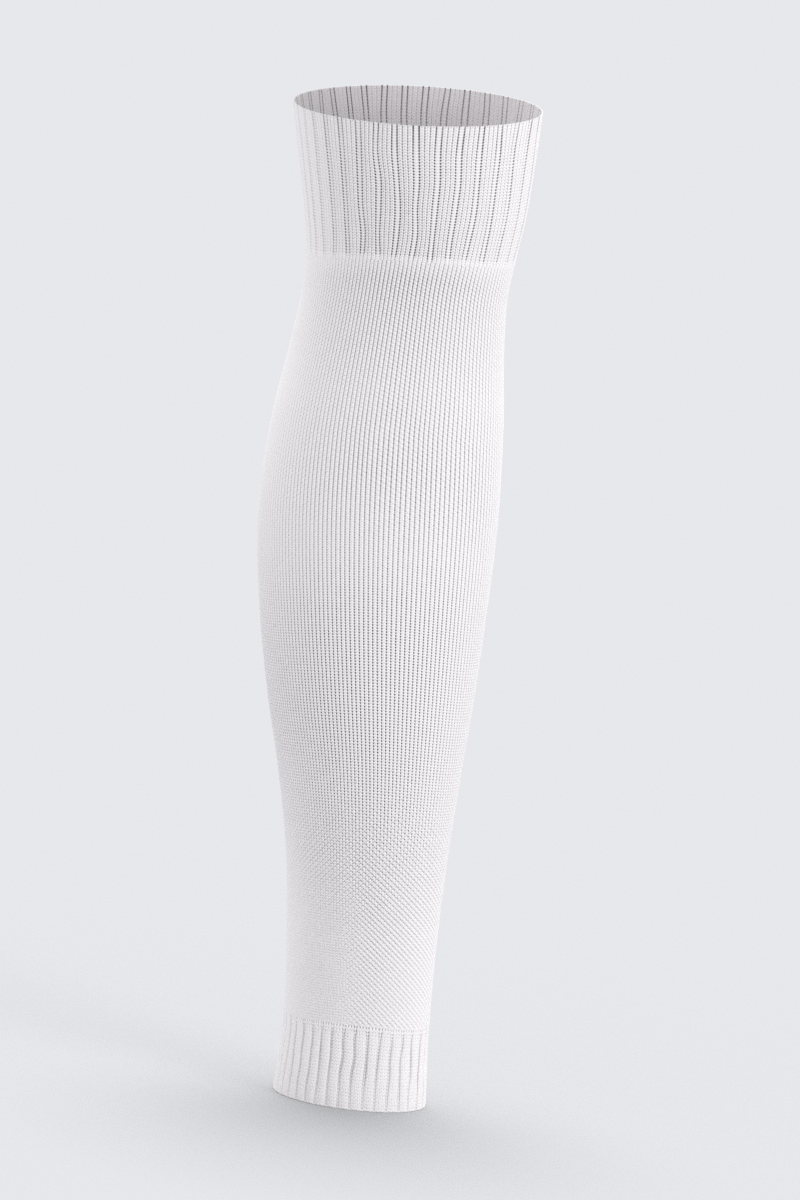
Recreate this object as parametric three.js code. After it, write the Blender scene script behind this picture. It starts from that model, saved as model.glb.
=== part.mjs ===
// Knitted calf sleeve: one tube for the lower leg, open at both ends.
// A ribbed knee cuff, a plain leg shaped over the calf and a ribbed ankle cuff follow each other up the leg.
// Millimetres, +Z up the leg, +X towards the shin and -X towards the calf.
// The origin is on the line through the middles of both rims, at the height of the calf's widest girth.

import * as THREE from 'three';
import { LoftGeometry } from 'three/addons/geometries/LoftGeometry.js';

// Heights above the ankle rim
const SLEEVE_LENGTH = 405;
const ANKLE_CUFF_HEIGHT = 33;
const KNEE_CUFF_HEIGHT = 61.5;
const CALF_HEIGHT = 242;

// Knit: a rib is three knit wales and one purl wale, which lies back from them
const RIB_COUNT = 36;
const WALES_PER_RIB = 4;
const PURL_WALE = 3;
const RIB_DEPTH = 1.0;
const CUFF_WALL = 2.0;
const LEG_WALL = 1.5;
const RIM_ROUND = 0.6;
const STRETCH_GAP = 0.3;

// The stitches lie this much wider apart than the mean over the shin, and closer over the calf
const SHIN_STRETCH = 0.15;

// Each rim lies square to the leg where it sits, in degrees of rise towards the calf
const ANKLE_TILT = 3;
const KNEE_TILT = -1;

// Rings of stitches that are drawn
const LEG_COLUMNS = 72;
const ROWS = {
  knee: { outer: 6, inner: 4 },
  leg: { outer: 17, inner: 12 },
  ankle: { outer: 3, inner: 2 },
};

// Oval sections of the outer surface: height above the ankle rim, how far the middle lies towards the shin,
// the half sizes from calf to shin (width) and from side to side (depth),
// and how far the row of stitches rides up at the sides of the leg (lift)
const SECTIONS = [
  { height: 0, middle: 0.0, width: 31.0, depth: 25.0, lift: 0.0 },
  { height: 29, middle: 0.7, width: 29.5, depth: 24.4, lift: 1.8 },
  { height: 65, middle: 0.5, width: 30.3, depth: 25.8, lift: 1.8 },
  { height: 98, middle: 0.2, width: 32.4, depth: 28.2, lift: 2.1 },
  { height: 131, middle: -1.0, width: 36.4, depth: 32.0, lift: 4.3 },
  { height: 163, middle: -2.7, width: 41.3, depth: 36.2, lift: 6.2 },
  { height: 196, middle: -4.0, width: 45.2, depth: 39.4, lift: 8.2 },
  { height: 242, middle: -4.4, width: 48.0, depth: 41.8, lift: 9.6 },
  { height: 278, middle: -3.1, width: 46.2, depth: 40.6, lift: 9.6 },
  { height: 310, middle: -1.2, width: 42.4, depth: 38.0, lift: 8.8 },
  { height: 330, middle: 0.2, width: 41.0, depth: 37.2, lift: 7.2 },
  { height: 346, middle: 1.6, width: 42.0, depth: 38.4, lift: 5.0 },
  { height: 362, middle: 2.0, width: 44.4, depth: 40.8, lift: 3.0 },
  { height: 384, middle: 1.2, width: 47.4, depth: 44.2, lift: 1.0 },
  { height: 405, middle: 0.2, width: 50.0, depth: 47.0, lift: 0.0 },
];

const YARN = { color: 0xf2f0f2, roughness: 0.92, metalness: 0 };

const sectionAt = new THREE.CubicInterpolant(
  SECTIONS.map((section) => section.height),
  SECTIONS.flatMap(({ middle, width, depth, lift }) => [middle, width, depth, lift]),
  4,
);

function tiltAt(height) {
  const degrees = THREE.MathUtils.lerp(ANKLE_TILT, KNEE_TILT, height / SLEEVE_LENGTH);
  return THREE.MathUtils.degToRad(degrees);
}

// How far round the section a wale lies, as a share of the girth from the middle of the shin
function shareOfGirth(turn) {
  const angle = 2 * Math.PI * turn;
  return turn + (SHIN_STRETCH * Math.sin(angle)) / (2 * Math.PI);
}

function ribRelief(wale) {
  return wale % WALES_PER_RIB === PURL_WALE ? RIB_DEPTH : 0;
}

function plainRelief() {
  return 0;
}

// One ring of points round the leg, set in from the outer surface
function ring(height, inset, columns, relief) {
  const [middle, width, depth, lift] = sectionAt.evaluate(height);
  const oval = new THREE.EllipseCurve(0, 0, width, depth);
  const tilt = tiltAt(height);
  const points = [];
  for (let column = 0; column < columns; column++) {
    const share = shareOfGirth((column + 0.5) / columns);
    const point = oval.getPointAt(share);
    const tangent = oval.getTangentAt(share);
    const back = inset + relief(column);
    const across = point.x - back * tangent.y;
    const side = point.y + back * tangent.x;
    const rise = lift * (point.y / depth) ** 2;
    points.push(new THREE.Vector3(
      middle + across * Math.cos(tilt),
      side,
      height - CALF_HEIGHT - across * Math.sin(tilt) + rise,
    ));
  }
  return points;
}

// Evenly spaced heights from one end to the other, both ends included
function steps(from, to, count) {
  return Array.from({ length: count + 1 }, (_, step) => THREE.MathUtils.lerp(from, to, step / count));
}

// The closed line round a wall's thickness: up its outside, over the top edge and down its inside
function wallProfile({ from, to, thickness, rows, freeFoot, freeTop }) {
  const foot = from + (freeFoot ? RIM_ROUND : 0);
  const top = to - (freeTop ? RIM_ROUND : 0);
  const profile = steps(foot, top, rows.outer).map((height) => ({ height, inset: 0 }));
  if (freeTop) {
    profile.push({ height: to, inset: RIM_ROUND }, { height: to, inset: thickness - RIM_ROUND });
  }
  steps(top, foot, rows.inner).forEach((height) => profile.push({ height, inset: thickness }));
  if (freeFoot) {
    profile.push({ height: from, inset: thickness - RIM_ROUND }, { height: from, inset: RIM_ROUND });
  }
  profile.push(profile[0]);
  return profile;
}

function knittedWall(name, { columns, relief, ...wall }) {
  const rings = wallProfile(wall).map(({ height, inset }) => ring(height, inset, columns, relief));
  const mesh = new THREE.Mesh(new LoftGeometry(rings), new THREE.MeshStandardMaterial(YARN));
  mesh.name = name;
  return mesh;
}

const cuff = {
  thickness: CUFF_WALL,
  columns: RIB_COUNT * WALES_PER_RIB,
  relief: ribRelief,
};

const kneeCuff = knittedWall('knee_cuff', {
  ...cuff,
  from: SLEEVE_LENGTH - KNEE_CUFF_HEIGHT + STRETCH_GAP / 2,
  to: SLEEVE_LENGTH,
  rows: ROWS.knee,
  freeFoot: false,
  freeTop: true,
});

const legTube = knittedWall('leg_tube', {
  thickness: LEG_WALL,
  columns: LEG_COLUMNS,
  relief: plainRelief,
  from: ANKLE_CUFF_HEIGHT + STRETCH_GAP / 2,
  to: SLEEVE_LENGTH - KNEE_CUFF_HEIGHT - STRETCH_GAP / 2,
  rows: ROWS.leg,
  freeFoot: false,
  freeTop: false,
});

const ankleCuff = knittedWall('ankle_cuff', {
  ...cuff,
  from: 0,
  to: ANKLE_CUFF_HEIGHT - STRETCH_GAP / 2,
  rows: ROWS.ankle,
  freeFoot: true,
  freeTop: false,
});

const calfSleeve = new THREE.Group();
calfSleeve.name = 'calf_sleeve';
calfSleeve.add(kneeCuff, legTube, ankleCuff);

export default calfSleeve;
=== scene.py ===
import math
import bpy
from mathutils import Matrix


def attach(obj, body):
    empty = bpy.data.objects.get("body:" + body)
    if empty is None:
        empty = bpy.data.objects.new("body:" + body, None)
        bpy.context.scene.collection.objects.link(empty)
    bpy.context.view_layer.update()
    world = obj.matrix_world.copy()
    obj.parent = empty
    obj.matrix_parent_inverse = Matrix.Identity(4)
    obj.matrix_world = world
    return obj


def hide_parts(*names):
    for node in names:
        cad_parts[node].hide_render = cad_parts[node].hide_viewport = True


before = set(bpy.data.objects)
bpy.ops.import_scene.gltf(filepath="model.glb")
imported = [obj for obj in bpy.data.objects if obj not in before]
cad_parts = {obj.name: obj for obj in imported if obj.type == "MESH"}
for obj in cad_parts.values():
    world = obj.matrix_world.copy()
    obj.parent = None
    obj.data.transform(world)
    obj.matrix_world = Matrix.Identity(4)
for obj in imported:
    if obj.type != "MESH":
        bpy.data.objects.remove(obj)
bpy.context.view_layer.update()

# Shade is also painted into the colour: in the gaps, in the purl wales, on the rims and inside.
# Dresses the calf sleeve: a white tube knitted in the round, with a ribbed cuff at each end.
# The loops of the knit, the gaps between them and the ribs are relief in the meshes themselves.
# Sizes are in millimetres unless a comment says otherwise, and heights are above the ankle rim.
# The meshes themselves are in metres.

from types import SimpleNamespace

import bpy
import numpy as np
from bpy.props import FloatProperty, FloatVectorProperty, PointerProperty
from mathutils import Matrix, Vector

bl_info = {
    "name": "Knitted Calf Sleeve",
    "version": (1, 0, 0),
    "blender": (4, 5, 0),
    "location": "3D View > Sidebar > Sleeve",
    "description": "Knits a ribbed calf sleeve stitch by stitch and sets it on a pale studio floor",
    "category": "Add Mesh",
}

MM = 0.001

# The sleeve's form, as in the part's source
SLEEVE_LENGTH = 405
ANKLE_CUFF_HEIGHT = 33
KNEE_CUFF_HEIGHT = 61.5
KNEE_CUFF_FOOT = SLEEVE_LENGTH - KNEE_CUFF_HEIGHT
CALF_HEIGHT = 242
SHIN_STRETCH = 0.15
ANKLE_TILT = 3
KNEE_TILT = -1
LEG_WALL = 1.5

# A cuff's wall is a touch thicker than in the source.
# A typical girth turns straying to the side into shares of a turn.
CUFF_WALL = 2.1
TYPICAL_GIRTH = 260

# Oval sections of the outer surface: how far the middle lies towards the shin, the half sizes,
# and how far a row of stitches rides up at the sides
SECTION_COLUMNS = ("height", "middle", "width", "depth", "lift")
SECTIONS = (
    (0, 0.0, 31.0, 25.0, 0.0),
    (29, 0.7, 29.5, 24.4, 1.8),
    (65, 0.5, 30.3, 25.8, 1.8),
    (98, 0.2, 32.4, 28.2, 2.1),
    (131, -1.0, 36.4, 32.0, 4.3),
    (163, -2.7, 41.3, 36.2, 6.2),
    (196, -4.0, 45.2, 39.4, 8.2),
    (242, -4.4, 48.0, 41.8, 9.6),
    (278, -3.1, 46.2, 40.6, 9.6),
    (310, -1.2, 42.4, 38.0, 8.8),
    (330, 0.2, 41.0, 37.2, 7.2),
    (346, 1.6, 42.0, 38.4, 5.0),
    (362, 2.0, 44.4, 40.8, 3.0),
    (384, 1.2, 47.4, 44.2, 1.0),
    (405, 0.2, 50.0, 47.0, 0.0),
)

# A rib is three knit wales and one purl wale. Each wale is drawn by four columns of points:
# the gap beside it, the left leg of its loops, their middle and their right leg.
# Each course is drawn by two rows: one at the bridges of yarn across the gaps and one at the holes.
RIBS = 36
WALES_PER_RIB = 4
PURL_WALE = 3
GAP, LEFT_LEG, MIDDLE, RIGHT_LEG = range(4)
PLACES_IN_WALE = np.array([0.0, 0.22, 0.5, 0.78])
COLUMNS_PER_RIB = WALES_PER_RIB * len(PLACES_IN_WALE)
COLUMNS = RIBS * COLUMNS_PER_RIB
ROWS_PER_COURSE = 2

# The leg is knitted in bands, each with this many rows of points on its plain inside
LEG_BANDS = ("leg_knit_lowest", "leg_knit_lower", "leg_knit_upper", "leg_knit_uppermost")
LEG_INNER_ROWS = 7

# Where each column of points lies in its wale and its rib, the same for every row.
# Across the face of a rib the columns run from -1 at one edge to 1 at the other.
COLUMN = np.arange(COLUMNS)
PLACE = COLUMN % len(PLACES_IN_WALE)
WALE = COLUMN // len(PLACES_IN_WALE)
WALE_IN_RIB = WALE % WALES_PER_RIB
IN_PURL = (WALE_IN_RIB == PURL_WALE) & (PLACE != GAP)
BESIDE_PURL = (PLACE == GAP) & ((WALE_IN_RIB == PURL_WALE) | (WALE_IN_RIB == 0))
FACE_COLUMNS = PURL_WALE * len(PLACES_IN_WALE)
ACROSS_FACE = np.clip(2 * (COLUMN % COLUMNS_PER_RIB) / FACE_COLUMNS - 1, -1, 1)

# How the stitches change up the sleeve: the height of a course, then, as shares of a loop's depth,
# the hole beside a wale, the bridge of yarn across that gap and the eye in the middle of a loop.
# Every gap is also painted darker the deeper it is, as painted shade.
# By the share "side" the gaps are wider at the sides of the leg than over shin and calf,
# and by the share "shin" they are wider towards the shin than over the calf, and their painted shade with
# them.
KNIT_COLUMNS = ("height", "course", "hole", "bridge", "eye", "side", "shin")

# On the leg every other eye is deeper, by one share on the shin's half and by another on the calf's half
LEG_COLUMNS = (*KNIT_COLUMNS, "tuck", "calf_tuck")
LEG_KNIT = (
    (33, 1.10, 0.30, 0.20, 0.32, 0.38, 0.34, 0.55, 0.0),
    (50, 1.10, 0.32, 0.22, 0.34, 0.38, 0.34, 0.60, 0.0),
    (70, 1.11, 0.36, 0.20, 0.40, 0.38, 0.34, 0.65, 0.0),
    (98, 1.14, 0.66, 0.18, 0.43, 0.32, 0.28, 0.50, 0.36),
    (126, 1.18, 1.18, 0.15, 0.36, 0.15, 0.18, 0.14, 0.14),
    (158, 1.18, 1.50, 0.18, 0.36, 0.04, 0.08, 0.0, 0.0),
    (190, 1.12, 1.32, 0.22, 0.34, 0.05, 0.15, 0.0, 0.0),
    (222, 1.04, 0.80, 0.38, 0.26, 0.12, 0.32, 0.12, 0.12),
    (255, 0.98, 0.74, 0.54, 0.26, 0.25, 0.42, 0.28, 0.28),
    (287, 0.86, 0.57, 0.48, 0.26, 0.30, 0.42, 0.34, 0.34),
    (318, 0.84, 0.67, 0.56, 0.30, 0.35, 0.42, 0.34, 0.34),
    (335, 0.84, 0.74, 0.59, 0.31, 0.40, 0.42, 0.32, 0.32),
    (343.5, 0.84, 0.48, 0.42, 0.26, 0.40, 0.40, 0.20, 0.20),
)

# On the cuffs also the gaps beside a purl wale, how far that wale lies back, its share of the rib's width,
# and how much lower a rib's edges are than its crown
RIB_COLUMNS = ("rib_hole", "rib_bridge", "recess", "purl", "crown")
CUFF_COLUMNS = (*KNIT_COLUMNS, *RIB_COLUMNS)
ANKLE_KNIT = (
    (0, 1.27, 0.30, 0.07, 0.24, 0.34, 0.50, 0.40, 0.30, 0.44, 0.15, 0.38),
    (24, 1.27, 0.32, 0.07, 0.26, 0.34, 0.50, 0.40, 0.28, 0.44, 0.15, 0.38),
    (28.5, 1.27, 0.34, 0.08, 0.26, 0.34, 0.48, 0.44, 0.26, 0.32, 0.18, 0.26),
    (30, 1.30, 0.38, 0.10, 0.26, 0.34, 0.48, 0.60, 0.20, 0.15, 0.22, 0.15),
    (31.2, 1.80, 0.38, 0.12, 0.22, 0.34, 0.44, 0.50, 0.14, 0.05, 0.25, 0.05),
    (31.4, 1.80, 0.60, 0.08, 0.15, 0.34, 0.44, 0.60, 0.08, 0.00, 0.25, 0.0),
    (33, 1.80, 0.55, 0.08, 0.15, 0.34, 0.44, 0.55, 0.08, 0.00, 0.25, 0.0),
)
KNEE_KNIT = (
    (343.5, 1.00, 0.42, 0.34, 0.26, 0.45, 0.40, 0.42, 0.34, 0.00, 0.25, 0.0),
    (345, 1.15, 0.44, 0.28, 0.26, 0.45, 0.40, 0.50, 0.34, 0.05, 0.26, 0.05),
    (346.5, 1.30, 0.68, 0.24, 0.36, 0.50, 0.42, 1.25, 0.40, 0.15, 0.28, 0.10),
    (354, 1.30, 0.68, 0.22, 0.37, 0.50, 0.42, 1.45, 0.24, 0.15, 0.28, 0.10),
    (364, 1.30, 0.68, 0.20, 0.38, 0.50, 0.42, 1.50, 0.12, 0.15, 0.29, 0.10),
    (390, 1.30, 0.68, 0.20, 0.38, 0.50, 0.42, 1.45, 0.14, 0.15, 0.30, 0.15),
    (396, 1.25, 0.66, 0.28, 0.34, 0.50, 0.42, 1.20, 0.50, 0.15, 0.28, 0.15),
    (405, 1.20, 0.62, 0.40, 0.30, 0.50, 0.42, 0.95, 0.75, 0.15, 0.27, 0.15),
)

# More shares of a loop's depth: the legs of the loops, a loop's middle beside the holes,
# the dips between the bars of a purl wale and the deepest gap there is
LOOP_LEGS = 0.02
BESIDE_HOLES = 0.05
BETWEEN_BARS = 0.25
DEEPEST_GAP = 1.5

# A purl wale is deeper and carries painted shade, by one share for each millimetre that it lies back,
# and the gaps beside it lie back by a share of its own distance
PURL_SHADE = 0.28
PURL_EDGE = 0.5

# The ribs of a cuff end unevenly, by up to this height
RAGGED_ENDS = 0.5

# The deep eyes slant one way on the shin's half and the other way on the calf's, and change over gradually
# where the cosine of the angle from the shin is this
SLANT_TURNS = -0.2
SLANT_CHANGE = 2.5

# The deep eyes open the holes on one side by a share and close those on the other, and close all a little
SLANT_OPENS = 0.5
TUCK_CLOSES = 0.1

# How fast the deeper eyes change from their share on the shin's half to that on the calf's
TUCK_CHANGE = 2

# The wales wind round the leg by one rib between these heights, and stray by a share of what a cuff's ribs do
WINDING = (70, 270)
LEG_WANDER = 0.3

# The rounded rim of a cuff, where the knit is drawn thin: distance from the edge, and from the outer surface.
# The knit ends this far from the edge with a thin wall, which grows to the full one over the taper.
RIM = ((0.15, 0.1), (0.0, 0.25), (0.0, 0.4), (0.15, 0.55))
RIM_START = 0.5
RIM_WALL = 0.65
RIM_TAPER = 25

# Relief takes at most these shares of a cuff's wall from outside and from inside,
# and these shares of the outer relief show at the rim and inside
OUTER_SHARE = 0.6
INNER_SHARE = 0.3
RIM_RELIEF = 0.3
INSIDE_RELIEF = 0.4

# The studio floor, in metres: distance from its middle, and how high it curves up there.
# Out to the nearer of two distances it lies square to the ankle rim, and by the farther one it is level.
FLOOR_PROFILE = (
    (0.2, 0.0),
    (0.6, 0.0),
    (1.2, 0.0),
    (2.0, 0.0),
    (6.5, 0.0),
    (7.5, 0.08),
    (8.5, 0.28),
    (9.3, 0.5),
)
FLOOR_TILTED = (0.2, 2.0)
FLOOR_SIDES = 96

# The light: the even colour of the room, and for each lamp the direction that it shines from
# and how many degrees wide it looks
ROOM_COLOUR = (0.985, 0.99, 1.0, 1)
KEY_LAMP = ((0.8, -0.57, 0.18), 35)
FILL_LAMP = ((-0.85, -0.5, 0.0), 60)
TOP_LAMP = ((0.0, 0.2, 0.98), 28)

# The picture: the point in its middle, how much it takes in from top to bottom there, and the camera's sensor
PICTURE_MIDDLE = (6.6, 0, 204.4 - CALF_HEIGHT)
PICTURE_HEIGHT = 480
SENSOR_WIDTH = 36

# Inside a cuff the reverse of the knit shows, with painted shade: it is painted darker, more towards the calf
# and less towards the shin, and its gaps and the lines beside the purl wales darken it by these shares.
# The rim and the inside of the leg have painted shades of their own.
INSIDE_SHADE = 0.38
INSIDE_TURN = 0.27
INSIDE_GAPS = 0.3
INSIDE_LINES = 0.3
RIM_SHADE = 0.3
LEG_INSIDE_SHADE = 0.1

# The inside of a cuff is drawn row by row down to these depths from the rim, and then by one row in so many
KNEE_INSIDE = 30
ANKLE_INSIDE = 5
INSIDE_EVERY = 10

# The yarn: the gap at which its painted shade is darkest, how much its fibres darken it, how strongly they
# show as bumps and in how much detail, then its gloss and the spread of its sheen
DARKEST_GAP = 1.12
FIBRE_SHADE = 0.93
FIBRE_BUMP = 0.25
FIBRE_DETAIL = 3.0
YARN_GLOSS = 0.25
SHEEN_SPREAD = 0.5

# Steps in which girths, courses and slow changes up the sleeve are worked out
GIRTH_STEPS = 1081
COURSE_STEPS = 2000
NOISE_STOPS = 6


def linear(hex_colour):
    """Linear red, green and blue of an sRGB hex colour such as f2edf1."""
    shares = [int(hex_colour[i : i + 2], 16) / 255 for i in (0, 2, 4)]
    return [c / 12.92 if c <= 0.04045 else ((c + 0.055) / 1.055) ** 2.4 for c in shares]


class YarnSettings(bpy.types.PropertyGroup):
    """Colours and finish of the yarn."""

    colour: FloatVectorProperty(
        name="Yarn",
        description="Colour of the loops",
        subtype="COLOR",
        min=0,
        max=1,
        default=linear("f6f2f4"),
    )
    # Painted shade: deep gaps are mixed towards this colour, which stands in for the shade in them
    painted_shade_colour: FloatVectorProperty(
        name="Between loops",
        description="Colour seen in the gaps between the loops",
        subtype="COLOR",
        min=0,
        max=1,
        default=linear("38343a"),
    )
    roughness: FloatProperty(
        name="Roughness",
        description="Roughness of the yarn",
        subtype="FACTOR",
        min=0,
        max=1,
        default=0.9,
    )
    sheen: FloatProperty(
        name="Sheen",
        description="Glow of the loose fibres at glancing angles",
        subtype="FACTOR",
        min=0,
        max=1,
        default=0.15,
    )
    fibre_size: FloatProperty(
        name="Fibre size",
        description="Width of a bundle of fibres, drawn coarse enough to show",
        unit="LENGTH",
        default=0.25 * MM,
    )


class KnitSettings(bpy.types.PropertyGroup):
    """Sizes of the knit."""

    loop_depth: FloatProperty(
        name="Loop depth",
        description="Depth of the gaps between the loops",
        unit="LENGTH",
        min=0,
        default=0.55 * MM,
    )
    unevenness: FloatProperty(
        name="Unevenness",
        description="Share by which the depth of single stitches varies",
        subtype="FACTOR",
        min=0,
        max=0.5,
        default=0.1,
    )
    pull: FloatProperty(
        name="Pull",
        description="Share by which the gaps of a rib vary from those of the next",
        subtype="FACTOR",
        min=0,
        max=0.5,
        default=0.3,
    )
    wander: FloatProperty(
        name="Wander",
        description="How far a rib strays to the side on its way up",
        unit="LENGTH",
        default=0.6 * MM,
    )


class StageSettings(bpy.types.PropertyGroup):
    """Floor, light and camera."""

    floor_colour: FloatVectorProperty(
        name="Floor",
        description="Colour of the matt floor",
        subtype="COLOR",
        min=0,
        max=1,
        default=linear("b6b7b9"),
    )
    floor_gap: FloatProperty(
        name="Floor gap",
        description="Height at which the sleeve is held above the floor",
        unit="LENGTH",
        default=0.02 * MM,
    )
    room_light: FloatProperty(
        name="Room light",
        description="Strength of the even light from all round",
        min=0,
        default=1.0,
    )
    key_light: FloatProperty(
        name="Key light",
        description="Strength of the large soft light in front, on the shin's side",
        min=0,
        default=1.4,
    )
    fill_light: FloatProperty(
        name="Fill light",
        description="Strength of the weak soft light in front, on the calf's side",
        min=0,
        default=0.13,
    )
    top_light: FloatProperty(
        name="Top light",
        description="Strength of the large soft light above, which draws the shadow at the sleeve's foot",
        min=0,
        default=2.0,
    )
    camera_distance: FloatProperty(
        name="Camera distance",
        description="Distance from the camera to the sleeve",
        unit="LENGTH",
        default=8.0,
    )
    camera_height: FloatProperty(
        name="Camera height",
        description="Angle at which the camera looks down",
        subtype="ANGLE",
        default=math.radians(11.2),
    )
    camera_lean: FloatProperty(
        name="Lean",
        description="Angle by which the sleeve leans to the right in the picture",
        subtype="ANGLE",
        default=math.radians(3.95),
    )


def by_name(names, rows):
    """The columns of a table by name, as arrays."""
    return SimpleNamespace(**dict(zip(names, np.array(rows, float).T)))


def smooth_through(heights, values, at):
    """A smooth curve through the rows of a table, read at any heights."""
    slopes = np.gradient(values, heights)
    row = np.clip(np.searchsorted(heights, at) - 1, 0, len(heights) - 2)
    span = heights[row + 1] - heights[row]
    t = (at - heights[row]) / span
    start = (1 + 2 * t) * (1 - t) ** 2 * values[row] + t * (1 - t) ** 2 * span * slopes[row]
    end = t**2 * (3 - 2 * t) * values[row + 1] + t**2 * (t - 1) * span * slopes[row + 1]
    return start + end


def angles_of_shares(width, depth, shares):
    """Angles on an oval at which these shares of its girth have passed, counted from the shin."""
    angles = np.linspace(-0.5, 2.5, GIRTH_STEPS) * math.pi
    speed = np.hypot(width * np.sin(angles), depth * np.cos(angles))
    girth = np.concatenate(([0], np.cumsum((speed[1:] + speed[:-1]) / 2)))
    girth -= np.interp(0, angles, girth)
    return np.interp(shares * np.interp(2 * math.pi, angles, girth), girth, angles)


def on_the_leg(heights, turns, insets):
    """Points set in from the sleeve's outer surface, in metres.

    turns and insets have a row for each height and a column for each column of points.
    """
    table = by_name(SECTION_COLUMNS, SECTIONS)
    section = {name: smooth_through(table.height, column, heights) for name, column in vars(table).items()}
    middle, width, depth, lift = (section[name][:, None] for name in SECTION_COLUMNS[1:])
    shares = turns + SHIN_STRETCH * np.sin(2 * math.pi * turns) / (2 * math.pi)
    angles = np.array([angles_of_shares(*row) for row in zip(section["width"], section["depth"], shares)])
    out = np.stack((np.cos(angles) / width, np.sin(angles) / depth))
    out /= np.linalg.norm(out, axis=0)
    across = width * np.cos(angles) - insets * out[0]
    side = depth * np.sin(angles) - insets * out[1]
    tilt = np.radians(ANKLE_TILT + (KNEE_TILT - ANKLE_TILT) * heights / SLEEVE_LENGTH)[:, None]
    x = middle + across * np.cos(tilt)
    z = heights[:, None] - CALF_HEIGHT - across * np.sin(tilt) + lift * np.sin(angles) ** 2
    return np.stack((x, side, z), axis=-1) * MM


def normals_of(points):
    """Outward normals of a strip of rows that run round the leg."""
    along = np.gradient(points, axis=0)
    around = np.roll(points, -1, axis=1) - np.roll(points, 1, axis=1)
    normals = np.cross(around, along)
    return normals / np.linalg.norm(normals, axis=-1, keepdims=True)


def slow_noise(heights, seed):
    """Smooth random values from -1 to 1, which change from rib to rib and on the way up."""
    random = np.random.default_rng(seed)
    stops = np.linspace(heights.min(), heights.max(), NOISE_STOPS)
    values = [random.uniform(-1, 1, NOISE_STOPS) for _ in range(RIBS)]
    ribs = np.array([smooth_through(stops, at_stops, heights) for at_stops in values]).T
    closed = np.concatenate((ribs, ribs[:, :1]), axis=1)
    return np.array([np.interp(COLUMN / COLUMNS_PER_RIB, np.arange(RIBS + 1), row) for row in closed])


def knit_rows(table, low, high, ragged=0):
    """Rows of points from low to high, two for each course, with the sizes of the stitches at every point.

    ragged is how far above its own height each column reads the sizes of its rib.
    """
    fine = np.linspace(low, high, COURSE_STEPS)
    course = np.interp(fine, table.height, table.course)
    passed = np.concatenate(([0], np.cumsum(np.diff(fine) / course[1:])))
    count = round(passed[-1]) * ROWS_PER_COURSE
    heights = np.interp(np.linspace(0, passed[-1], count + 1), passed, fine)
    sizes = {}
    for name, column in vars(table).items():
        read_at = heights[:, None] + (ragged if name in RIB_COLUMNS else 0)
        sizes[name] = np.interp(read_at, table.height, column)
    row = np.arange(count + 1)[:, None]
    sizes.update(height=heights, course=row // ROWS_PER_COURSE, at_hole=row % ROWS_PER_COURSE == 1)
    return SimpleNamespace(**sizes)


def turns_of(heights, purl, wander, seed):
    """How far round the sleeve each point lies, in ribs of unequal wales that stray on their way up."""
    knit_width = (1 - purl) / PURL_WALE
    purl_start = 1 - (1 / WALES_PER_RIB + purl) / 2
    in_knit = purl_start + purl - 1 + (WALE_IN_RIB + PLACES_IN_WALE[PLACE]) * knit_width
    in_purl = purl_start + PLACES_IN_WALE[PLACE] * purl
    turns = (COLUMN // COLUMNS_PER_RIB + np.where(WALE_IN_RIB == PURL_WALE, in_purl, in_knit)) / RIBS
    return turns + slow_noise(heights, seed) * wander / (TYPICAL_GIRTH * MM)


def loosened(knit, turns, settings, seed):
    """How many times deeper each stitch is than its table says, by its place on the leg and unevenly."""
    uneven = np.random.default_rng(seed).uniform(-1, 1, turns.shape)
    from_shin = 2 * math.pi * turns
    stretched = 1 + knit.shin * np.cos(from_shin) - knit.side * np.cos(2 * from_shin)
    return stretched * (1 + settings.unevenness * uneven)


def loop_gaps(knit, turns, settings, seed, tuck=0):
    """How deep each point lies below the tops of plain loops.

    tuck is the share by which every other eye is deeper. Those eyes are drawn out slantwise,
    down towards the nearer edge of the leg.
    """
    deep = (knit.course + WALE) % 2 == 0
    towards_shin = np.clip(SLANT_CHANGE * (np.cos(2 * math.pi * turns) - SLANT_TURNS), -1, 1)
    slant = towards_shin * np.where(deep == (PLACE == RIGHT_LEG), -1, 1)
    hole = knit.hole * (1 + tuck * (SLANT_OPENS * slant - TUCK_CLOSES))
    beside = np.where(knit.at_hole, hole, knit.bridge)
    within = np.where(knit.at_hole, BESIDE_HOLES, knit.eye * np.where(deep, 1 + tuck, 1 - tuck))
    legs = LOOP_LEGS + tuck * knit.eye * knit.at_hole * np.maximum(slant, 0)
    gaps = np.where(PLACE == GAP, beside, np.where(PLACE == MIDDLE, within, legs))
    return np.minimum(gaps * loosened(knit, turns, settings, seed), DEEPEST_GAP)


def rib_gaps(knit, turns, settings, seed):
    """How deep each point lies below the loops of its own wale, in a rib."""
    pulled = 1 + settings.pull * slow_noise(knit.height, seed + 2)
    pulled = pulled * loosened(knit, turns, settings, seed + 1)
    beside = np.where(knit.at_hole, knit.rib_hole, knit.rib_bridge) * pulled
    bars = np.where(knit.at_hole, BETWEEN_BARS, 0) + PURL_SHADE * knit.recess
    loops = loop_gaps(knit, turns, settings, seed)
    gaps = np.where(BESIDE_PURL, beside, np.where(IN_PURL, bars, loops))
    return np.minimum(gaps, DEEPEST_GAP)


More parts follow.
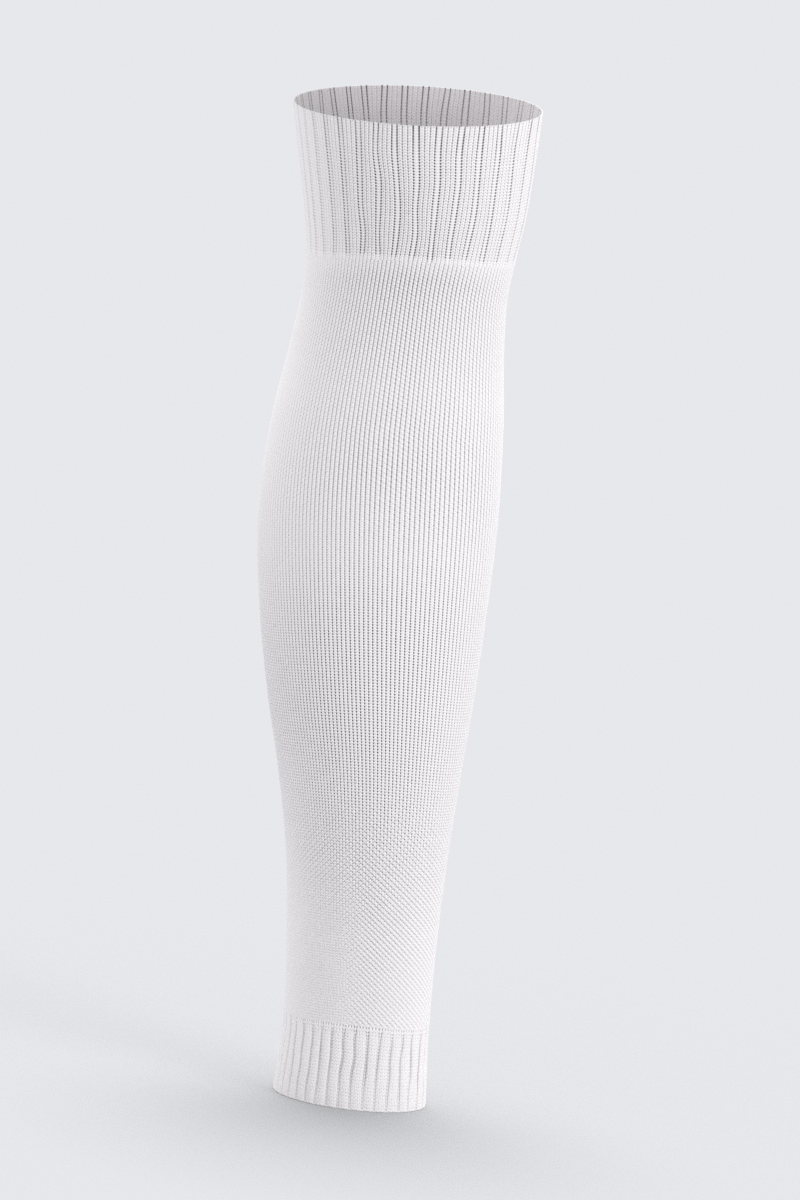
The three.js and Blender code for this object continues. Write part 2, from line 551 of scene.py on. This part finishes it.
def closed_shell(name, points, normals, painted_gap_shade):
    """A closed mesh from rows of points that run round the leg, in a loop up the outside and down the inside.

    The diagonals of its squares follow the legs of the loops, which meet at the top of each loop.
    """
    rows = len(points)
    low, left = np.meshgrid(np.arange(rows), COLUMN, indexing="ij")
    corners = {"a": (low, left), "b": (low, left + 1), "c": (low + 1, left + 1), "d": (low + 1, left)}
    rising = np.stack([np.stack(corners[key], axis=-1) for key in "abcacd"], axis=2)
    falling = np.stack([np.stack(corners[key], axis=-1) for key in "abdbcd"], axis=2)
    left_half = (PLACE < MIDDLE)[None, :, None, None]
    triangles = np.where(left_half, rising, falling).reshape(-1, 2)
    indices = triangles[:, 0] % rows * COLUMNS + triangles[:, 1] % COLUMNS

    mesh = bpy.data.meshes.new(name)
    mesh.vertices.add(rows * COLUMNS)
    mesh.vertices.foreach_set("co", points.astype(np.float32).ravel())
    mesh.loops.add(len(indices))
    mesh.loops.foreach_set("vertex_index", indices.astype(np.int32))
    mesh.polygons.add(len(indices) // 3)
    mesh.polygons.foreach_set("loop_start", np.arange(0, len(indices), 3, dtype=np.int32))
    mesh.update(calc_edges=True)
    unrolled = triangles[:, ::-1] / (COLUMNS, rows)
    mesh.uv_layers.new(name="OFBake").uv.foreach_set("vector", unrolled.astype(np.float32).ravel())
    # Painted shade: how dark each point's gap is painted, kept as an attribute that the material reads
    depths = mesh.attributes.new("painted_gap_shade", "FLOAT", "POINT")
    depths.data.foreach_set("value", painted_gap_shade.astype(np.float32).ravel())
    mesh.shade_smooth()
    mesh.normals_split_custom_set_from_vertices(normals.reshape(-1, 3).tolist())

    piece = bpy.data.objects.new(name, mesh)
    bpy.context.scene.collection.objects.link(piece)
    return piece


def add_node(tree, kind, inputs=None, **settings):
    """Adds a node with its settings, and sets or links its inputs."""
    node = tree.nodes.new(kind)
    for name, value in settings.items():
        setattr(node, name, value)
    for socket, value in (inputs or {}).items():
        if isinstance(value, bpy.types.NodeSocket):
            tree.links.new(value, node.inputs[socket])
        else:
            node.inputs[socket].default_value = value
    return node


def knitted_polyamide(yarn):
    """Knitted polyamide yarn: matt, soft-edged and white, with grey painted shade in the gaps between the
    loops.
    """
    name = "knitted_white_polyamide"
    if name in bpy.data.materials:
        return bpy.data.materials[name]
    material = bpy.data.materials.new(name)
    material.use_nodes = True
    tree = material.node_tree
    shader = tree.nodes["Principled BSDF"]
    # Painted shade: the deeper a point's gap, the more its colour is mixed towards the painted shade colour
    gap = add_node(tree, "ShaderNodeAttribute", attribute_name="painted_gap_shade")
    shade = add_node(
        tree,
        "ShaderNodeMapRange",
        {"Value": gap.outputs["Fac"], "From Min": LOOP_LEGS, "From Max": DARKEST_GAP},
    )
    # Single fibres are too fine to show, so bundles of them are drawn
    place = add_node(tree, "ShaderNodeTexCoord")
    fibres = add_node(
        tree,
        "ShaderNodeTexNoise",
        {"Vector": place.outputs["Object"], "Scale": 1 / yarn.fibre_size, "Detail": FIBRE_DETAIL},
    )
    darker = [FIBRE_SHADE * share for share in yarn.colour]
    loops = add_node(
        tree,
        "ShaderNodeMix",
        {"Factor": fibres.outputs["Fac"], "A": (*yarn.colour, 1), "B": (*darker, 1)},
        data_type="RGBA",
    )
    colour = add_node(
        tree,
        "ShaderNodeMix",
        {"Factor": shade.outputs["Result"], "A": loops.outputs["Result"], "B": (*yarn.painted_shade_colour, 1)},
        data_type="RGBA",
    )
    bump = add_node(
        tree,
        "ShaderNodeBump",
        {"Height": fibres.outputs["Fac"], "Strength": FIBRE_BUMP, "Distance": yarn.fibre_size},
    )
    tree.links.new(colour.outputs["Result"], shader.inputs["Base Color"])
    tree.links.new(bump.outputs["Normal"], shader.inputs["Normal"])
    shader.inputs["Roughness"].default_value = yarn.roughness
    shader.inputs["Specular IOR Level"].default_value = YARN_GLOSS
    shader.inputs["Sheen Weight"].default_value = yarn.sheen
    shader.inputs["Sheen Roughness"].default_value = SHEEN_SPREAD
    return material


def put_in_place(piece, node):
    """Puts a finished piece in the place of its CAD node."""
    piece.data.materials.append(knitted_polyamide(bpy.context.scene.sleeve_yarn))
    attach(piece, "root")
    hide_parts(node)


def cuff_wall(from_rim):
    """Thickness of a cuff's wall, which is drawn thin towards the rim."""
    return np.interp(from_rim, (0, RIM_TAPER), (RIM_WALL, CUFF_WALL))[:, None]


def knit_cuff(name, table, joint, rim, inside, settings, seed):
    """A closed cuff: up its ribbed outside from the joint, over the rounded rim and back down its inside."""
    towards_rim = 1 if rim > joint else -1
    start = rim - towards_rim * RIM_START
    ragged = RAGGED_ENDS * slow_noise(np.array([0.0, 1.0]), seed + 3)[0]
    table = by_name(CUFF_COLUMNS, table)
    knit = knit_rows(table, min(joint, start), max(joint, start), ragged)
    turns = turns_of(knit.height, knit.purl, settings.wander, seed)
    gaps = rib_gaps(knit, turns, settings, seed)
    recess = knit.recess * (IN_PURL + PURL_EDGE * BESIDE_PURL) + knit.crown * ACROSS_FACE**2
    heights, gaps, recess, turns = (rows[::towards_rim] for rows in (knit.height, gaps, recess, turns))
    wall = cuff_wall(np.abs(heights - start))
    relief = gaps * settings.loop_depth / MM
    outer_insets = np.minimum(recess + relief, OUTER_SHARE * wall)

    # Inside, all rows are drawn from the rim down to where they can be seen, and only some beyond that
    rows = np.arange(len(heights))[::-1]
    rows = rows[(np.abs(heights[rows] - rim) < inside) | (rows % INSIDE_EVERY == 0)]
    # Painted shade: the inside is painted darker, more towards the calf than towards the shin
    inside_shade = INSIDE_SHADE - INSIDE_TURN * np.cos(2 * math.pi * turns)
    inner_painted_shade = inside_shade[rows] + INSIDE_GAPS * gaps[rows] + INSIDE_LINES * BESIDE_PURL
    inner_insets = wall[rows] - np.minimum(INSIDE_RELIEF * relief[rows], INNER_SHARE * wall[rows])

    rim_steps, rim_insets = np.array(RIM).T
    rim_insets = rim_insets[:, None] + RIM_RELIEF * outer_insets[-1]
    # Painted shade on the rim, which dims its top and runs into that of the inside
    rim_painted_shade = np.maximum(np.linspace(RIM_SHADE, inside_shade[-1], len(RIM)), gaps[-1])
    points = on_the_leg(
        np.concatenate((heights, rim - towards_rim * rim_steps, heights[rows])),
        np.concatenate((turns, np.repeat(turns[-1:], len(RIM), axis=0), turns[rows])),
        np.concatenate((outer_insets, rim_insets, inner_insets)),
    )[::towards_rim]
    painted_gap_shade = np.concatenate((gaps, rim_painted_shade, inner_painted_shade))[::towards_rim]
    return closed_shell(name, points, normals_of(points), painted_gap_shade)


class SLEEVE_OT_knee_cuff(bpy.types.Operator):
    """Knits the broad ribbed cuff below the knee"""

    bl_idname = "sleeve.knee_cuff"
    bl_label = "Knee cuff"

    def execute(self, context):
        piece = knit_cuff(
            "knee_cuff_knit",
            KNEE_KNIT,
            joint=KNEE_CUFF_FOOT,
            rim=SLEEVE_LENGTH,
            inside=KNEE_INSIDE,
            settings=context.scene.sleeve_knit,
            seed=3,
        )
        put_in_place(piece, "knee_cuff")
        return {"FINISHED"}


class SLEEVE_OT_leg(bpy.types.Operator):
    """Knits the plain leg over the calf, in bands so that no mesh grows too heavy"""

    bl_idname = "sleeve.leg"
    bl_label = "Leg"

    def execute(self, context):
        settings = context.scene.sleeve_knit
        knit = knit_rows(by_name(LEG_COLUMNS, LEG_KNIT), ANKLE_CUFF_HEIGHT, KNEE_CUFF_FOOT)
        even = np.full((len(knit.height), 1), 1 / WALES_PER_RIB)
        winding = np.interp(knit.height, WINDING, (0, 1 / RIBS))[:, None]
        turns = turns_of(knit.height, even, LEG_WANDER * settings.wander, seed=6) - winding
        share_of_shin = np.clip(0.5 + TUCK_CHANGE * np.cos(2 * math.pi * turns), 0, 1)
        tuck = knit.calf_tuck + (knit.tuck - knit.calf_tuck) * share_of_shin
        gaps = loop_gaps(knit, turns, settings, seed=5, tuck=tuck)
        points = on_the_leg(knit.height, turns, gaps * settings.loop_depth / MM)
        normals = normals_of(points)
        ends = np.linspace(0, knit.course[-1, 0], len(LEG_BANDS) + 1).astype(int) * ROWS_PER_COURSE
        for name, first, last in zip(LEG_BANDS, ends[:-1], ends[1:]):
            band = slice(first, last + 1)
            inner_rows = np.linspace(last, first, LEG_INNER_ROWS).astype(int)
            flat = np.ones((len(inner_rows), COLUMNS))
            inner = on_the_leg(knit.height[inner_rows], turns[inner_rows], LEG_WALL * flat)
            # The leg's plain inside gets a light painted shade
            piece = closed_shell(
                name,
                np.concatenate((points[band], inner)),
                np.concatenate((normals[band], normals_of(inner))),
                np.concatenate((gaps[band], LEG_INSIDE_SHADE * flat)),
            )
            put_in_place(piece, "leg_tube")
        return {"FINISHED"}


class SLEEVE_OT_ankle_cuff(bpy.types.Operator):
    """Knits the short ribbed cuff above the ankle"""

    bl_idname = "sleeve.ankle_cuff"
    bl_label = "Ankle cuff"

    def execute(self, context):
        piece = knit_cuff(
            "ankle_cuff_knit",
            ANKLE_KNIT,
            joint=ANKLE_CUFF_HEIGHT,
            rim=0,
            inside=ANKLE_INSIDE,
            settings=context.scene.sleeve_knit,
            seed=8,
        )
        put_in_place(piece, "ankle_cuff")
        return {"FINISHED"}


def matt_floor(colour):
    """Matt paint on a studio floor: an even pale tone with no gloss."""
    material = bpy.data.materials.new("matt_painted_floor")
    material.use_nodes = True
    shader = material.node_tree.nodes["Principled BSDF"]
    shader.inputs["Base Color"].default_value = (*colour, 1)
    shader.inputs["Roughness"].default_value = 1.0
    shader.inputs["Specular IOR Level"].default_value = 0.0
    return material


class SLEEVE_OT_stage(bpy.types.Operator):
    """Lays the floor and sets the light and the camera"""

    bl_idname = "sleeve.stage"
    bl_label = "Stage"

    def execute(self, context):
        stage = context.scene.sleeve_stage
        self.lay_floor(context, stage)
        self.set_light(context, stage)
        self.set_camera(context, stage)
        return {"FINISHED"}

    def lay_floor(self, context, stage):
        """Lays a floor that meets the ankle rim and curves up far away, so that no edge shows."""
        radii, rises = np.array(FLOOR_PROFILE).T[..., None]
        angles = np.linspace(0, 2 * math.pi, FLOOR_SIDES, endpoint=False)
        slope = math.tan(math.radians(ANKLE_TILT))
        falls = np.interp(radii, FLOOR_TILTED, (FLOOR_TILTED[0] * slope, 0))
        x = radii * np.cos(angles)
        y = radii * np.sin(angles)
        z = rises - falls * np.cos(angles)
        rings = np.stack((x, y, z), axis=-1)
        corners = np.arange(rings[..., 0].size).reshape(len(FLOOR_PROFILE), FLOOR_SIDES)
        ahead = np.roll(corners, -1, axis=1)
        bends = np.stack((corners[:-1], corners[1:], ahead[1:], ahead[:-1]), axis=-1).reshape(-1, 4)
        mesh = bpy.data.meshes.new("floor")
        mesh.from_pydata(rings.reshape(-1, 3).tolist(), [], [corners[0].tolist(), *bends.tolist()])
        mesh.shade_smooth()
        mesh.materials.append(matt_floor(stage.floor_colour))
        floor = bpy.data.objects.new("floor", mesh)
        floor.location.z = -CALF_HEIGHT * MM - stage.floor_gap
        context.scene.collection.objects.link(floor)

    def set_light(self, context, stage):
        """Lights the sleeve evenly from all round, with soft lights on the shin, on the calf and above."""
        world = bpy.data.worlds.new("studio")
        world.use_nodes = True
        background = world.node_tree.nodes["Background"]
        background.inputs["Color"].default_value = ROOM_COLOUR
        background.inputs["Strength"].default_value = stage.room_light
        context.scene.world = world
        context.scene.view_settings.view_transform = "Standard"
        # The even light leaves little noise, and smoothing it away would run the stitches together
        context.scene.cycles.use_denoising = False
        self.hang_lamp(context, "key", stage.key_light, *KEY_LAMP)
        self.hang_lamp(context, "fill", stage.fill_light, *FILL_LAMP)
        self.hang_lamp(context, "top", stage.top_light, *TOP_LAMP)

    def hang_lamp(self, context, name, strength, direction, width):
        """Hangs a soft lamp that shines from this direction and looks this many degrees wide."""
        light = bpy.data.lights.new(name, "SUN")
        light.energy = strength
        light.angle = math.radians(width)
        lamp = bpy.data.objects.new(name, light)
        lamp.rotation_mode = "QUATERNION"
        lamp.rotation_quaternion = Vector(direction).to_track_quat("Z", "Y")
        context.scene.collection.objects.link(lamp)

    def set_camera(self, context, stage):
        """Places the camera at the photograph's angle, with the sleeve leaning as it does there."""
        target = Vector(PICTURE_MIDDLE) * MM
        height = stage.camera_height
        lean = stage.camera_lean
        level = Vector((1, 0, 0))
        upright = Vector((0, math.sin(height), math.cos(height)))
        back = Vector((0, -math.cos(height), math.sin(height)))
        right = level * math.cos(lean) + upright * math.sin(lean)
        up = upright * math.cos(lean) - level * math.sin(lean)
        data = bpy.data.cameras.new("camera")
        data.sensor_width = SENSOR_WIDTH
        data.lens = SENSOR_WIDTH * stage.camera_distance / (PICTURE_HEIGHT * MM)
        camera = bpy.data.objects.new("camera", data)
        turn = Matrix((right, up, back)).transposed().to_4x4()
        camera.matrix_world = Matrix.Translation(target + back * stage.camera_distance) @ turn
        context.scene.collection.objects.link(camera)
        context.scene.camera = camera


class SLEEVE_PT_panel(bpy.types.Panel):
    """Lists the sleeve's pieces and its settings"""

    bl_idname = "SLEEVE_PT_panel"
    bl_label = "Calf sleeve"
    bl_space_type = "VIEW_3D"
    bl_region_type = "UI"
    bl_category = "Sleeve"

    def draw(self, context):
        scene = context.scene
        for operator in OPERATORS:
            self.layout.operator(operator.bl_idname)
        for settings in (scene.sleeve_yarn, scene.sleeve_knit, scene.sleeve_stage):
            box = self.layout.box()
            for name in settings.__annotations__:
                box.prop(settings, name)


OPERATORS = (SLEEVE_OT_knee_cuff, SLEEVE_OT_leg, SLEEVE_OT_ankle_cuff, SLEEVE_OT_stage)
CLASSES = (YarnSettings, KnitSettings, StageSettings, *OPERATORS, SLEEVE_PT_panel)


def register():
    for cls in CLASSES:
        bpy.utils.register_class(cls)
    bpy.types.Scene.sleeve_yarn = PointerProperty(type=YarnSettings)
    bpy.types.Scene.sleeve_knit = PointerProperty(type=KnitSettings)
    bpy.types.Scene.sleeve_stage = PointerProperty(type=StageSettings)


def unregister():
    del bpy.types.Scene.sleeve_stage
    del bpy.types.Scene.sleeve_knit
    del bpy.types.Scene.sleeve_yarn
    for cls in reversed(CLASSES):
        bpy.utils.unregister_class(cls)


def main():
    register()
    bpy.ops.sleeve.knee_cuff()
    bpy.ops.sleeve.leg()
    bpy.ops.sleeve.ankle_cuff()
    bpy.ops.sleeve.stage()


if __name__ == "__main__":
    main()
